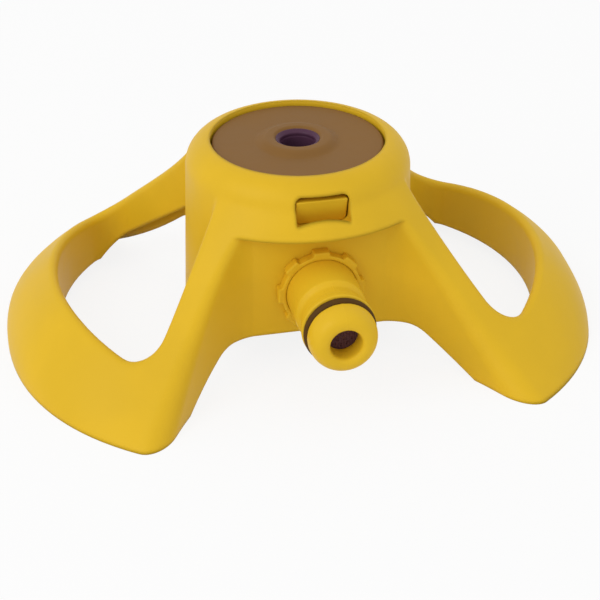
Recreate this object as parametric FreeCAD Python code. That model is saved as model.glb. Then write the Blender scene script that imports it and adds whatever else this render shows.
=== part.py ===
"""Sprinkler stand: a moulded butterfly base with a hose inlet and a sprung, swivelling head socket.

Frame: origin on the ground under the turret's axis, X across the wings, Z up, and the hose inlet
points along -Y. All sizes are in millimetres. Each function builds one sub-part; the groups are
the moulded base, the hose inlet, the bearing cartridge and the swivelling stem.
"""
import FreeCAD, Part
import math
import os

V = FreeCAD.Vector
X_AXIS = V(1, 0, 0)
Y_AXIS = V(0, 1, 0)
Z_AXIS = V(0, 0, 1)
ORIGIN = V(0, 0, 0)

# ---- fits and clearances ---------------------------------------------------------------------
RUNNING_FIT = 0.05          # radial play of a shaft in its bearing
SLIP_FIT = 0.15             # radial play of a piece that is pushed in by hand
LOOSE_FIT = 0.40            # play round a piece that has to move freely
THRUST_GAP = 0.10           # axial play between faces that turn on each other
TRIM = 1.0                  # how far a cutter runs past the face that it cuts

# ---- moulded base ----------------------------------------------------------------------------
WALL = 2.2                  # wall of the moulding, measured across a vertical wall
SKIN_DROP = 3.6             # wall of the sloping skin, measured straight down
TURRET_HEIGHT = 46.0
TURRET_RADIUS = 25.5        # turret wall where its shoulder starts
SHOULDER_RADIUS = 6.4       # round shoulder at the turret's top
HUB_DRAFT = 0.9             # the turret's wall is wider at its foot by this much
HUB_FOOT_HEIGHT = 7.4
LIP_HEIGHT = 3.0            # depth of the rim round the disc
RIM_LAND = 5.7              # from the turret's wall to the opening round the disc
# The skin's outline at shares of the turret's height: half width, depth in front of the axis and
# behind it, and the squareness of the superellipse.
SKIN_SECTIONS = (
    (0.000, 68.2, 62.0, 62.0, 2.18),
    (0.261, 62.4, 42.2, 46.4, 2.26),
    (0.522, 46.5, 33.4, 36.4, 2.04),
    (0.783, 29.4, 27.8, 27.6, 2.00),
    (0.913, 24.4, 24.4, 24.4, 2.00),
)
SECTION_POINTS = 20         # points that carry each outline
NECK_ROUND = 3.0            # hollow between the turret and the wings

BAY_INSET = 3.3             # the front and rear bay walls lie this far inside the turret's wall
LEDGE_DROP = 11.8           # from the turret's top to the ledge over a bay wall
BAY_FLAT = 15.0             # half width of the flat wall
BAY_REACH = 43.2            # where the bay's flank runs out past the foot
BAY_END = 58.4
BAY_BEND = 1.69             # how sharply the flank turns outwards
FRONT_ARCH = (8.6, 21.8, 32.0)   # crown height, half width at the crown, half width on the ground
REAR_ARCH = (17.5, 22.0, 39.0)
ARCH_CORNER = 6.0

WING_APEX = 8.4             # where the two straight edges of a wing opening would meet
WING_ANGLE = 47.4           # each edge's angle from the X axis
WING_HUB_END = 20.0         # centre of the round end that lies inside the turret
WING_CORNER = 6.2           # rounded corner next to the foot
WING_END = 55.6             # the opening's outer end, from the axis
WING_END_RADIUS = 46.0
FLANGE_FOOT = 2.8           # lower edge of the wall that turns down round the opening
FLANGE_TURN = 43.0          # distance from the axis where that edge starts to rise to the turret
FLANGE_SLOPE = 1.0
RIDGE_ROUND = 2.0           # rounded edges beside a bay, under the turret and at the ground
RIDGE_FOOT_ROUND = 5.0
OPENING_ROUND = 1.3

WINDOW_WIDTH = 12.0         # latch window in the turret's front and rear
WINDOW_HEIGHT = 7.2         # its upper edge lies level with the rim's underside
WINDOW_CORNER = 1.6

# ---- hose inlet ------------------------------------------------------------------------------
INLET_DROP = 26.5           # from the turret's top to the inlet's axis
NIPPLE_RADIUS = 7.95        # plug of a 1/2 in click connector
NIPPLE_BORE = 4.0
NOSE_RIM = 43.8             # the nose's widest edge, from the turret's axis
NOSE_LENGTH = 3.9
NOSE_TIP_RADIUS = 5.6
NOSE_BEVEL = 0.5            # broken edges of the nose
BORE_CHAMFER = 0.6
SEAL_GROOVE_WIDTH = 1.9
SEAL_GROOVE_DEPTH = 1.7
SEAL_LAND = 0.5             # narrow land between the nose and its groove
NECK_START = 5.6            # latch neck behind the groove, measured from the nose's widest edge
NECK_WIDTH = 4.6
NECK_DEPTH = 0.9
INLET_COLLAR_RADIUS = 10.4
INLET_COLLAR_WIDTH = 2.0
LOCK_RING_WIDTH = 2.5
LOCK_RING_RIM = 1.0         # wall of the ring between its tabs
LOCK_TABS = 8
LOCK_TAB_TIP = 10.2
LOCK_TAB_WIDTH = 3.6
LOCK_TAB_BEVEL = 0.4
FILTER_DEPTH = 5.2          # filter's front face, from the nose's tip
FILTER_LENGTH = 2.6
FILTER_WALL = 0.6
FILTER_HOLE = 0.5           # half width of a hexagonal hole, corner to corner
FILTER_LAND = 0.2           # land between the outer holes and the thimble's wall
HEXAGON = 6

RISER_INNER = 9.0           # water chamber under the bearing
RISER_WALL = 2.2
RISER_DROP = 9.3            # from the inlet's axis to the riser's foot
CUP_STEP = 1.0              # the seal cup starts this far below the spigot
EAR_COUNT = 4
EAR_CIRCLE = 16.6           # circle of the fixing screws
EAR_RADIUS = 3.4
EAR_THICKNESS = 2.4
GUSSET_WIDTH = 1.2          # web under each ear
PLUG_DEPTH = 2.4
PLUG_FLANGE = 1.3
PLUG_RIB = 1.1              # grip across the plug's recess
SEAL_SIDES = 8              # flats round the section of an O-ring

# ---- bearing cartridge -----------------------------------------------------------------------
WEB_DROP = 13.0             # from the turret's top to the cartridge web's underside
WEB_THICKNESS = 2.4
RIM_WALL = 2.2
RIM_DEPTH = 5.4             # the cartridge's rim reaches this far below its web
SPIGOT_RADIUS = 11.0        # spigot that plugs into the riser
SPIGOT_DEPTH = 7.0
RISER_SEAL_SECTION = 0.9    # radius of the O-ring's section
RISER_SEAL_RISE = 2.6       # from the spigot's end to the middle of its O-ring
BOSS_RADIUS = 3.0
BOSS_HEIGHT = 3.6
SCREW_RADIUS = 1.45
SCREW_HEAD_RADIUS = 2.7
SCREW_HEAD_HEIGHT = 1.7
SCREW_HEAD_BEVEL = 0.7
SCREW_DRIVE = 0.72          # width of the cross in a screw's head
SCREW_LENGTH = 7.6

SLEEVE_WALL = 2.1
SLEEVE_FLANGE_RADIUS = 10.2
SLEEVE_FLANGE = 1.2

AXLE_DROP = 1.6             # from the web's underside to the axle at a latch tongue's root
AXLE_RADIUS = 0.8
CHEEK_WIDTH = 1.4           # cheeks under the web that hold the axle
CHEEK_WALL = 0.7            # wall under the axle's hole
TONGUE_THICKNESS = 1.4
TONGUE_WIDTH = 9.0
TONGUE_SETBACK = 1.0        # gap between the bay wall and the tongue
PAD_GAP = 0.4               # play round the finger pad in its window
PAD_HEADROOM = 1.1          # the pad rises when the tongue swings in
PAD_INSET_TOP = 1.2         # finger pad's face behind the turret's wall, at its top and bottom
PAD_INSET_FOOT = 2.4
SWING_ROOM = 1.8            # room behind a tongue when it is pressed in

# ---- swivelling stem -------------------------------------------------------------------------
STEM_RADIUS = 6.0
STEM_WALL = 1.4
STEM_SET_DOWN = 0.9         # the stem's end lies this far below the disc's face
STEM_FLANGE_RADIUS = 8.0
STEM_FLANGE = 1.8
STEM_CHAMFER = 0.5
WASHER_THICKNESSES = (0.8, 1.0, 0.8)
WASHER_NAMES = ("stem_washer_upper", "stem_washer_seal", "stem_washer_lower")

DISC_GAP = 0.4              # open line round the disc
DISC_SET_DOWN = 0.5         # the disc's face lies this far below the turret's rim
DISC_THICKNESS = 2.0
DISC_HUB_RADIUS = 9.0
DISC_HUB_DEPTH = 3.9        # from the disc's face to the foot of its hub
DISC_BOSS_RISE = 0.6
DISC_MOUTH_RADIUS = 5.5
DISC_MOUTH_DEPTH = 0.9
DISC_EDGE_BEVEL = 0.3

SPRING_SEAT = 0.6           # thickness of the washer on top of the spring
SPRING_WIRE = 0.35          # half the wire's width, corner to corner
SPRING_COILS = 3
SPRING_PLAY = 0.5           # play between the spring and the stem

INSERT_WALL = 0.6
INSERT_DEPTH = 9.0

# ---- sizes that follow from the ones above ---------------------------------------------------
HUB_FOOT_RADIUS = TURRET_RADIUS + HUB_DRAFT
OPENING_RADIUS = TURRET_RADIUS - RIM_LAND
DISC_RADIUS = OPENING_RADIUS - DISC_GAP
TURRET_BORE = TURRET_RADIUS - WALL
LIP_UNDERSIDE = TURRET_HEIGHT - LIP_HEIGHT
SHOULDER_START = TURRET_HEIGHT - SHOULDER_RADIUS
WINDOW_HIGH = LIP_UNDERSIDE
WINDOW_LOW = WINDOW_HIGH - WINDOW_HEIGHT
BAY_DEPTH = TURRET_RADIUS - BAY_INSET
BAY_TOP = TURRET_HEIGHT - LEDGE_DROP
PANEL_BACK = BAY_DEPTH - WALL
WEB_UNDERSIDE = TURRET_HEIGHT - WEB_DROP
WEB_TOP = WEB_UNDERSIDE + WEB_THICKNESS
RIM_FOOT = WEB_UNDERSIDE - RIM_DEPTH
SPIGOT_FOOT = WEB_UNDERSIDE - SPIGOT_DEPTH
RISER_SEAL_HEIGHT = SPIGOT_FOOT + RISER_SEAL_RISE
CARRIER_RADIUS = TURRET_BORE - 2 * SLIP_FIT
SLEEVE_BORE = STEM_RADIUS + RUNNING_FIT
SLEEVE_RADIUS = SLEEVE_BORE + SLEEVE_WALL
SLEEVE_TOP = WEB_TOP + SLEEVE_FLANGE
CUP_RADIUS = SPIGOT_RADIUS + SLIP_FIT
CUP_FLOOR = SPIGOT_FOOT - CUP_STEP
RISER_OUTER = CUP_RADIUS + RISER_WALL
INLET_HEIGHT = TURRET_HEIGHT - INLET_DROP
RISER_FOOT = INLET_HEIGHT - RISER_DROP
NOSE_TIP = NOSE_RIM + NOSE_LENGTH
CARRIER_FLAT = PANEL_BACK - 2 * SLIP_FIT
TONGUE_OUTER = PANEL_BACK - TONGUE_SETBACK
TONGUE_INNER = TONGUE_OUTER - TONGUE_THICKNESS
TONGUE_TOP = WINDOW_HIGH - PAD_HEADROOM
AXLE_DISTANCE = (TONGUE_OUTER + TONGUE_INNER) / 2
AXLE_HEIGHT = WEB_UNDERSIDE - AXLE_DROP
PAD_PROUD_TOP = TURRET_RADIUS - PAD_INSET_TOP
PAD_PROUD_FOOT = TURRET_RADIUS - PAD_INSET_FOOT
DISC_TOP = TURRET_HEIGHT - DISC_SET_DOWN
DISC_HUB_FOOT = DISC_TOP - DISC_HUB_DEPTH
STEM_BORE = STEM_RADIUS - STEM_WALL
STEM_TOP = DISC_TOP - STEM_SET_DOWN


def write(shape, name):
    """Write one sub-part to its own file."""
    shape.exportStep("parts/" + name + ".step")


def polygon(points):
    """Closed flat face through points given as (x, y, z)."""
    corners = [V(*p) for p in points]
    return Part.Face(Part.makePolygon(corners + corners[:1]))


def revolve_z(profile):
    """Solid turned about the Z axis from (radius, height) points."""
    return polygon([(r, 0, z) for r, z in profile]).revolve(ORIGIN, Z_AXIS, 360)


def tube(outer, inner, low, high):
    """Plain ring about the Z axis."""
    ring = Part.makeCylinder(outer, high - low, V(0, 0, low))
    bore = Part.makeCylinder(inner, high - low + 2 * TRIM, V(0, 0, low - TRIM))
    return ring.cut(bore)


def along_inlet(radius, start, end):
    """Cylinder on the inlet's axis between two distances in front of the turret's axis."""
    return Part.makeCylinder(radius, end - start, V(0, -start, INLET_HEIGHT), -Y_AXIS)


def mirrored_pair(shape):
    """A front piece together with its copy at the rear."""
    return [shape, shape.rotated(ORIGIN, Z_AXIS, 180)]


# ---- moulded base ----------------------------------------------------------------------------
def superellipse(share, half_width, front_depth, rear_depth, squareness):
    """Closed outline of the skin at a share of the turret's height."""
    points = []
    for i in range(SECTION_POINTS):
        angle = 2 * math.pi * i / SECTION_POINTS
        c = math.cos(angle)
        s = math.sin(angle)
        x = math.copysign(half_width * abs(c) ** (2 / squareness), c)
        depth = rear_depth if s > 0 else -front_depth
        y = depth * abs(s) ** (2 / squareness)
        points.append(V(x, y, share * TURRET_HEIGHT))
    curve = Part.BSplineCurve()
    curve.interpolate(points, PeriodicFlag=True)
    return Part.Wire([curve.toShape()])


def skin_form():
    """Solid under the wings' sloping skin."""
    return Part.makeLoft([superellipse(*section) for section in SKIN_SECTIONS], True, False)


def turret_form():
    """Solid of the turret with its round shoulder."""
    rim = TURRET_RADIUS - SHOULDER_RADIUS
    turn = SHOULDER_RADIUS * math.sqrt(0.5)
    outline = [
        Part.makeLine(V(0, 0, HUB_FOOT_HEIGHT), V(HUB_FOOT_RADIUS, 0, HUB_FOOT_HEIGHT)),
        Part.makeLine(V(HUB_FOOT_RADIUS, 0, HUB_FOOT_HEIGHT), V(TURRET_RADIUS, 0, SHOULDER_START)),
        Part.Arc(V(TURRET_RADIUS, 0, SHOULDER_START), V(rim + turn, 0, SHOULDER_START + turn),
                 V(rim, 0, TURRET_HEIGHT)).toShape(),
        Part.makeLine(V(rim, 0, TURRET_HEIGHT), V(0, 0, TURRET_HEIGHT)),
        Part.makeLine(V(0, 0, TURRET_HEIGHT), V(0, 0, HUB_FOOT_HEIGHT)),
    ]
    return Part.Face(Part.Wire(outline)).revolve(ORIGIN, Z_AXIS, 360)


def round_outline(corners, radius):
    """Closed wire through flat corners, each one rounded by an arc of the given radius."""
    edges = []
    count = len(corners)
    ends = []
    for i, corner in enumerate(corners):
        before = (corners[i - 1] - corner).normalize()
        after = (corners[(i + 1) % count] - corner).normalize()
        half = before.getAngle(after) / 2
        setback = radius / math.tan(half)
        centre = corner + (before + after).normalize() * (radius / math.sin(half))
        middle = centre + (corner - centre).normalize() * radius
        ends.append((corner + before * setback, middle, corner + after * setback))
    for i, (start, middle, stop) in enumerate(ends):
        edges.append(Part.Arc(start, middle, stop).toShape())
        edges.append(Part.makeLine(stop, ends[(i + 1) % count][0]))
    return Part.Wire(edges)


def bay_form(inset):
    """Space in front of the front bay wall; a positive inset moves the wall into the base."""
    rise = BAY_END - BAY_DEPTH
    run = BAY_REACH - BAY_FLAT
    flank = []
    for i in range(9):
        t = i / 8
        slope = rise / run * BAY_BEND * t ** (BAY_BEND - 1)
        normal = V(slope, 1, 0).normalize() * inset
        flank.append(V(BAY_FLAT + run * t, -BAY_DEPTH - rise * t ** BAY_BEND, 0) + normal)
    right = Part.BSplineCurve()
    right.interpolate(flank)
    left = Part.BSplineCurve()
    left.interpolate([V(-p.x, p.y, 0) for p in reversed(flank)])
    first = flank[0]
    last = flank[-1]
    front = -SKIN_SECTIONS[0][2] - TRIM
    edges = [
        Part.makeLine(V(-first.x, first.y, 0), first),
        right.toShape(),
        Part.makeLine(last, V(last.x, front, 0)),
        Part.makeLine(V(last.x, front, 0), V(-last.x, front, 0)),
        Part.makeLine(V(-last.x, front, 0), V(-last.x, last.y, 0)),
        left.toShape(),
    ]
    face = Part.Face(Part.Wire(edges))
    face.translate(V(0, 0, -TRIM))
    return face.extrude(V(0, 0, BAY_TOP + inset + TRIM))


def wing_opening(margin):
    """Tall prism through the right wing's opening, widened all round by a margin."""
    angle = math.radians(WING_ANGLE)
    along = V(math.cos(angle), math.sin(angle), 0)
    inward = V(math.sin(angle), -math.cos(angle), 0)
    apex = V(WING_APEX, 0, 0)
    end_centre = V(WING_END - WING_END_RADIUS, 0, 0)
    start = apex + inward * WING_CORNER - end_centre
    back = start.dot(along)
    run = math.sqrt(back ** 2 - start.dot(start) + (WING_END_RADIUS - WING_CORNER) ** 2) - back
    corner = end_centre + start + along * run
    outward = (corner - end_centre).normalize()
    bisector = (outward - inward).normalize()
    corner_radius = WING_CORNER + margin
    hub_centre = V(WING_HUB_END, 0, 0)
    hub_radius = (WING_HUB_END - WING_APEX) * math.sin(angle) + margin

    def mirror(point):
        return V(point.x, -point.y, 0)

    hub_end = hub_centre - inward * hub_radius
    edge_end = corner - inward * corner_radius
    corner_middle = corner + bisector * corner_radius
    corner_end = corner + outward * corner_radius
    outline = Part.Wire([
        Part.makeLine(hub_end, edge_end),
        Part.Arc(edge_end, corner_middle, corner_end).toShape(),
        Part.Arc(corner_end, V(WING_END + margin, 0, 0), mirror(corner_end)).toShape(),
        Part.Arc(mirror(corner_end), mirror(corner_middle), mirror(edge_end)).toShape(),
        Part.makeLine(mirror(edge_end), mirror(hub_end)),
        Part.Arc(mirror(hub_end), hub_centre - X_AXIS * hub_radius, hub_end).toShape(),
    ])
    face = Part.Face(outline)
    face.translate(V(0, 0, -TRIM))
    return face.extrude(V(0, 0, TURRET_HEIGHT))


def below_flange():
    """Space under the wall round the right wing's opening."""
    rise = FLANGE_SLOPE * FLANGE_TURN
    face = polygon([
        (0, -BAY_END, -2 * TRIM), (0, -BAY_END, FLANGE_FOOT + rise),
        (FLANGE_TURN, -BAY_END, FLANGE_FOOT), (2 * FLANGE_TURN, -BAY_END, FLANGE_FOOT),
        (2 * FLANGE_TURN, -BAY_END, -2 * TRIM),
    ])
    return face.extrude(V(0, 2 * BAY_END, 0))


def arch_cutter(crown, crown_half, foot_half):
    """Space under the front bay wall, between the feet."""
    drop = (foot_half - crown_half) / crown
    depth = 2 * ARCH_CORNER
    foot = foot_half + drop * depth
    corners = [V(-crown_half, 0, crown), V(crown_half, 0, crown),
               V(foot, 0, -depth), V(-foot, 0, -depth)]
    face = Part.Face(round_outline(corners, ARCH_CORNER))
    face.translate(V(0, -PANEL_BACK + TRIM, 0))
    return face.extrude(V(0, -BAY_END, 0))


def window_form(inset, outer, inner):
    """Rounded block in the front latch window, from one distance to another off the axis."""
    half = WINDOW_WIDTH / 2 - inset
    corners = [V(-half, -inner, WINDOW_LOW + inset), V(half, -inner, WINDOW_LOW + inset),
               V(half, -inner, WINDOW_HIGH - inset), V(-half, -inner, WINDOW_HIGH - inset)]
    return Part.Face(round_outline(corners, WINDOW_CORNER - inset)).extrude(V(0, inner - outer, 0))


def crease(body, first, second):
    """Edges of a body along which the side faces of two forms meet."""
    found = []
    for edge in body.Edges:
        middle = Part.Vertex(edge.valueAt((edge.FirstParameter + edge.LastParameter) / 2))
        gaps = [min(face.distToShape(middle)[0] for face in form.Faces if face.BoundBox.ZLength > TRIM)
                for form in (first, second)]
        if max(gaps) < 0.001:
            found.append(edge)
    return found


def rounded_ridges(body, skin, bays):
    """Round the sharp ridges whose edges run the same way, wider at the ground than at the top."""
    ridges = [edge for bay in bays for edge in crease(body, skin, bay)]
    falls = ridges[0].valueAt(ridges[0].FirstParameter).z > TRIM
    same = [edge for edge in ridges if (edge.valueAt(edge.FirstParameter).z > TRIM) == falls]
    if falls:
        return body.makeFillet(RIDGE_ROUND, RIDGE_FOOT_ROUND, same)
    return body.makeFillet(RIDGE_FOOT_ROUND, RIDGE_ROUND, same)


def hub_cavity():
    """Space inside the turret, open to the ground, with a sloping ceiling under the shoulder."""
    ring = TURRET_BORE - (LIP_UNDERSIDE - SHOULDER_START)
    return revolve_z([(0, -TRIM), (TURRET_BORE, -TRIM), (TURRET_BORE, SHOULDER_START),
                      (ring, LIP_UNDERSIDE), (0, LIP_UNDERSIDE)])


def base_shell():
    """Moulded base: turret, two winged feet with their openings, bays, arches and windows."""
    skin = skin_form()
    turret = turret_form()
    bays = mirrored_pair(bay_form(0))
    openings = mirrored_pair(wing_opening(0))

    wings = skin.cut(openings)
    rims = [edge for opening in openings for edge in crease(wings, skin, opening)]
    body = wings.makeFillet(OPENING_ROUND, rims).fuse(turret)
    body = body.makeFillet(NECK_ROUND, crease(body, skin, turret)).cut(bays)
    body = rounded_ridges(rounded_ridges(body, skin, bays), skin, bays)

    walls = mirrored_pair(bay_form(WALL))
    flanges = mirrored_pair(wing_opening(WALL).cut(below_flange()))
    under_skin = skin.translated(V(0, 0, -SKIN_DROP)).cut([turret] + walls + flanges)
    inside = hub_cavity().cut(walls)
    mouth = Part.makeCylinder(OPENING_RADIUS, TURRET_HEIGHT)
    body = body.cut([under_skin, inside, mouth])

    rear_arch = arch_cutter(*REAR_ARCH).rotated(ORIGIN, Z_AXIS, 180)
    windows = mirrored_pair(window_form(0, TURRET_RADIUS + TRIM, OPENING_RADIUS - TRIM))
    nipple_hole = along_inlet(NIPPLE_RADIUS + SLIP_FIT, PANEL_BACK - TRIM, BAY_DEPTH + TRIM)
    return body.cut([arch_cutter(*FRONT_ARCH), rear_arch, nipple_hole] + windows)


# ---- hose inlet ------------------------------------------------------------------------------
def nipple():
    """Plug for a click connector: nose, seal groove, latch neck and shank, along -Y."""
    groove_front = NOSE_RIM - SEAL_LAND
    groove_back = groove_front - SEAL_GROOVE_WIDTH
    groove_floor = NIPPLE_RADIUS - SEAL_GROOVE_DEPTH
    neck_front = NOSE_RIM - NECK_START
    neck_back = neck_front - NECK_WIDTH
    neck_floor = NIPPLE_RADIUS - NECK_DEPTH
    root = -RISER_INNER
    rim_slope = (NIPPLE_RADIUS - NOSE_TIP_RADIUS) / NOSE_LENGTH
    profile = [
        (0, -root), (NIPPLE_RADIUS, -root),
        (NIPPLE_RADIUS, neck_back), (neck_floor, neck_back + NECK_DEPTH),
        (neck_floor, neck_front - NECK_DEPTH), (NIPPLE_RADIUS, neck_front),
        (NIPPLE_RADIUS, groove_back), (groove_floor, groove_back),
        (groove_floor, groove_front), (NIPPLE_RADIUS, groove_front),
        (NIPPLE_RADIUS, NOSE_RIM), (NOSE_TIP_RADIUS + rim_slope * NOSE_BEVEL, NOSE_TIP - NOSE_BEVEL),
        (NOSE_TIP_RADIUS - NOSE_BEVEL, NOSE_TIP), (0, NOSE_TIP),
    ]
    face = polygon([(r, -y, INLET_HEIGHT) for r, y in profile])
    return face.revolve(V(0, 0, INLET_HEIGHT), Y_AXIS, 360)


def seal_ring(radius, section):
    """O-ring about the Z axis, at the origin, with a many-sided section."""
    corners = []
    for i in range(SEAL_SIDES):
        angle = 2 * math.pi * (i + 0.5) / SEAL_SIDES
        corners.append((radius + section * math.cos(angle), section * math.sin(angle)))
    return revolve_z(corners)


def ear(angle):
    """Screw ear on the riser's top, with a web to the riser's wall."""
    centre = V(EAR_CIRCLE, 0, WEB_UNDERSIDE - EAR_THICKNESS)
    disc = Part.makeCylinder(EAR_RADIUS, EAR_THICKNESS, centre)
    arm = Part.makeBox(EAR_CIRCLE - CUP_RADIUS, 2 * EAR_RADIUS, EAR_THICKNESS,
                       V(CUP_RADIUS, -EAR_RADIUS, centre.z))
    gusset = polygon([(CUP_RADIUS, 0, centre.z), (EAR_CIRCLE - SCREW_HEAD_RADIUS, 0, centre.z),
                      (CUP_RADIUS, 0, centre.z - EAR_RADIUS)])
    gusset.translate(V(0, -GUSSET_WIDTH / 2, 0))
    gusset = gusset.extrude(V(0, GUSSET_WIDTH, 0))
    return disc.fuse([arm, gusset]).rotated(ORIGIN, Z_AXIS, angle)


def ear_angles():
    """Angles of the screws, between the front and the side."""
    return [360 / EAR_COUNT * (i + 0.5) for i in range(EAR_COUNT)]


def screw_holes(radius, low, high):
    """Cylinders on the screw circle."""
    hole = Part.makeCylinder(radius, high - low, V(EAR_CIRCLE, 0, low))
    return [hole.rotated(ORIGIN, Z_AXIS, angle) for angle in ear_angles()]


def inlet_body():
    """Water way: nipple, collar behind the bay wall, elbow, riser and its screw ears."""
    shell = Part.makeCylinder(RISER_OUTER, WEB_UNDERSIDE - RISER_FOOT, V(0, 0, RISER_FOOT))
    collar = along_inlet(INLET_COLLAR_RADIUS, PANEL_BACK - INLET_COLLAR_WIDTH, PANEL_BACK)
    boss = along_inlet(NIPPLE_RADIUS + RISER_WALL / 2, RISER_INNER, PANEL_BACK - INLET_COLLAR_WIDTH / 2)
    outside = shell.fuse([collar, boss, nipple()] + [ear(angle) for angle in ear_angles()])
    chamber = Part.makeCylinder(RISER_INNER, CUP_FLOOR - RISER_FOOT, V(0, 0, RISER_FOOT))
    cup = Part.makeCylinder(CUP_RADIUS, WEB_UNDERSIDE - CUP_FLOOR, V(0, 0, CUP_FLOOR))
    water = along_inlet(NIPPLE_BORE, 0, NOSE_TIP)
    lead = Part.makeCone(NIPPLE_BORE + BORE_CHAMFER, NIPPLE_BORE, BORE_CHAMFER,
                         V(0, -NOSE_TIP, INLET_HEIGHT), Y_AXIS)
    holes = screw_holes(SCREW_RADIUS + SLIP_FIT, WEB_UNDERSIDE - EAR_THICKNESS, WEB_UNDERSIDE)
    return outside.cut([chamber, cup, water, lead] + holes)


def inlet_o_ring():
    """Seal in the nipple's groove; it lies on the groove's floor and stays inside the plug."""
    section = SEAL_GROOVE_DEPTH / 2
    middle = NOSE_RIM - SEAL_LAND - SEAL_GROOVE_WIDTH / 2
    ring = seal_ring(NIPPLE_RADIUS - section, section / math.cos(math.pi / SEAL_SIDES))
    return ring.rotated(ORIGIN, X_AXIS, 90).translated(V(0, -middle, INLET_HEIGHT))


def inlet_lock_ring():
    """Castellated ring that clamps the inlet's collar against the bay wall."""
    ring = along_inlet(NIPPLE_RADIUS + LOCK_RING_RIM, BAY_DEPTH, BAY_DEPTH + LOCK_RING_WIDTH)
    length = LOCK_TAB_TIP - NIPPLE_RADIUS
    tabs = []
    for i in range(LOCK_TABS):
        tab = Part.makeBox(length, LOCK_RING_WIDTH, LOCK_TAB_WIDTH,
                           V(NIPPLE_RADIUS, -BAY_DEPTH - LOCK_RING_WIDTH,
                             INLET_HEIGHT - LOCK_TAB_WIDTH / 2))
        tip = [edge for edge in tab.Edges if edge.BoundBox.XMin > LOCK_TAB_TIP - 0.01
               and edge.BoundBox.YLength > LOCK_RING_WIDTH / 2]
        front = [edge for edge in tab.Edges if edge.BoundBox.XMin > LOCK_TAB_TIP - 0.01
                 and edge.BoundBox.YMax < -BAY_DEPTH - LOCK_RING_WIDTH / 2]
        tab = tab.makeChamfer(LOCK_TAB_BEVEL, tip + front)
        tabs.append(tab.rotated(V(0, 0, INLET_HEIGHT), Y_AXIS, 360 / LOCK_TABS * i))
    bore = along_inlet(NIPPLE_RADIUS + RUNNING_FIT, BAY_DEPTH - TRIM,
                       BAY_DEPTH + LOCK_RING_WIDTH + TRIM)
    return ring.fuse(tabs).cut(bore)


def inlet_filter():
    """Thimble strainer pushed into the nipple: a rim, and a perforated face towards the hose."""
    face = NOSE_TIP - FILTER_DEPTH
    back = face - FILTER_LENGTH
    body = along_inlet(NIPPLE_BORE, back, face)
    inside = along_inlet(NIPPLE_BORE - FILTER_WALL, back - TRIM, face - FILTER_WALL)
    pitch = (NIPPLE_BORE - FILTER_WALL - FILTER_HOLE - FILTER_LAND) / 2
    corners = []
    for i in range(HEXAGON):
        angle = 2 * math.pi * i / HEXAGON
        corners.append((FILTER_HOLE * math.cos(angle), -back, INLET_HEIGHT + FILTER_HOLE * math.sin(angle)))
    holes = [polygon(corners).extrude(V(0, back - face - TRIM, 0))]
    for ring, count in ((1, 6), (2, 12)):
        for i in range(count):
            angle = 2 * math.pi * i / count
            hole = holes[0].translated(V(ring * pitch * math.cos(angle), 0,
                                         ring * pitch * math.sin(angle)))
            holes.append(hole)
    return body.cut([inside] + holes)


def elbow_plug():
    """Cap that closes the riser's moulding core from below."""
    flange = Part.makeCylinder(RISER_OUTER - RISER_WALL / 2, PLUG_FLANGE,
                               V(0, 0, RISER_FOOT - PLUG_FLANGE))
    spigot = Part.makeCylinder(RISER_INNER, PLUG_DEPTH, V(0, 0, RISER_FOOT))
    hollow = Part.makeCylinder(RISER_INNER - RISER_WALL, PLUG_DEPTH, V(0, 0, RISER_FOOT))
    recess = Part.makeCylinder(RISER_INNER - RISER_WALL, PLUG_FLANGE / 2,
                               V(0, 0, RISER_FOOT - PLUG_FLANGE))
    rib = Part.makeBox(2 * (RISER_INNER - RISER_WALL), PLUG_RIB, PLUG_FLANGE / 2,
                       V(-RISER_INNER + RISER_WALL, -PLUG_RIB / 2, RISER_FOOT - PLUG_FLANGE))
    return flange.fuse(spigot).cut([hollow, recess]).fuse(rib)


# ---- bearing cartridge -----------------------------------------------------------------------
def latch_axle(radius):
    """Cylinder along X through the front latch's root and both of its cheeks."""
    length = TONGUE_WIDTH + 2 * (LOOSE_FIT + CHEEK_WIDTH)
    return Part.makeCylinder(radius, length, V(-length / 2, -AXLE_DISTANCE, AXLE_HEIGHT), X_AXIS)


def latch_tongue():
    """Front latch: a tongue on its axle, with a finger pad that stands in the window."""
    blade = Part.makeBox(TONGUE_WIDTH, TONGUE_THICKNESS, TONGUE_TOP - AXLE_HEIGHT,
                         V(-TONGUE_WIDTH / 2, -TONGUE_OUTER, AXLE_HEIGHT))
    pad = window_form(PAD_GAP, PAD_PROUD_TOP + TRIM, AXLE_DISTANCE)
    half = WINDOW_WIDTH
    slant = polygon([(-half, -PAD_PROUD_FOOT, WINDOW_LOW), (-half, -PAD_PROUD_TOP, TONGUE_TOP),
                     (-half, -AXLE_DISTANCE, TONGUE_TOP), (-half, -AXLE_DISTANCE, WINDOW_LOW)])
    pad = pad.common(slant.extrude(V(2 * half, 0, 0)))
    return latch_axle(AXLE_RADIUS).fuse([blade, pad])


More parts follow.
